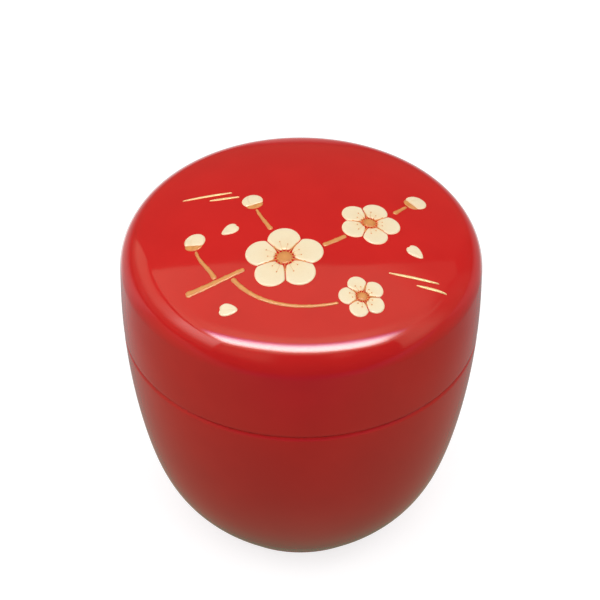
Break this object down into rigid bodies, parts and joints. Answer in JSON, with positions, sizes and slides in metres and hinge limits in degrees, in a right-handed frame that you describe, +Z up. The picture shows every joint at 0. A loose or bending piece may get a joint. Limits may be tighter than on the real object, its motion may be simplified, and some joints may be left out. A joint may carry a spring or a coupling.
{
  "type": "lacquer tea caddy",
  "caption": "Round lacquered tea caddy: a cup with a standing rim and a deep domed lid that lifts off, with a raised plum sprig on the lid. It holds powdered tea.",
  "frame": {"origin": "centre of the foot, on the surface that the caddy stands on", "axes": "+Z up along the turning axis, front towards -Y, +X to the right seen from the front"},
  "size_m": [0.066, 0.066, 0.0681],
  "materials": {
    "vermilion_lacquer": "polished vermilion lacquer, mirror gloss",
    "black_lacquer": "polished black lacquer inside",
    "cream_relief": "raised cream lacquer, satin",
    "tan_relief": "raised tan gold lacquer, satin",
    "pale_gold_relief": "raised pale gold lacquer lines, satin metallic"
  },
  "bodies": {
    "body": {"body_shell": "vermilion_lacquer", "body_inner_coat": "black_lacquer"},
    "lid_carrier": {"lid_inner_coat": "black_lacquer"},
    "lid": {"lid_shell": "vermilion_lacquer", "blossom_large": "cream_relief", "blossom_middle": "cream_relief", "blossom_small": "cream_relief", "bud_tip": "cream_relief", "bud_left": "cream_relief", "bud_back": "cream_relief", "petal_left": "cream_relief", "petal_front": "cream_relief", "petal_right": "cream_relief", "eye_large": "tan_relief", "eye_middle": "tan_relief", "eye_small": "tan_relief", "calyx_tip": "tan_relief", "calyx_left": "tan_relief", "calyx_back": "tan_relief", "twig_stem": "tan_relief", "twig_left": "tan_relief", "twig_front": "tan_relief", "twig_middle": "tan_relief", "twig_tip": "tan_relief", "twig_back": "tan_relief", "mist_back_upper": "pale_gold_relief", "mist_back_lower": "pale_gold_relief", "mist_right_upper": "pale_gold_relief", "mist_right_lower": "pale_gold_relief"}
  },
  "joints": [
    {"name": "lid_lift", "type": "slide", "parent": "body", "child": "lid_carrier", "axis": [0, 0, 1], "range_m": [0, 0.045]},
    {"name": "lid_turn", "type": "hinge", "parent": "lid_carrier", "child": "lid", "pos_m": [0, 0, 0.0425], "axis": [0, 0, 1], "continuous": true}
  ]
}
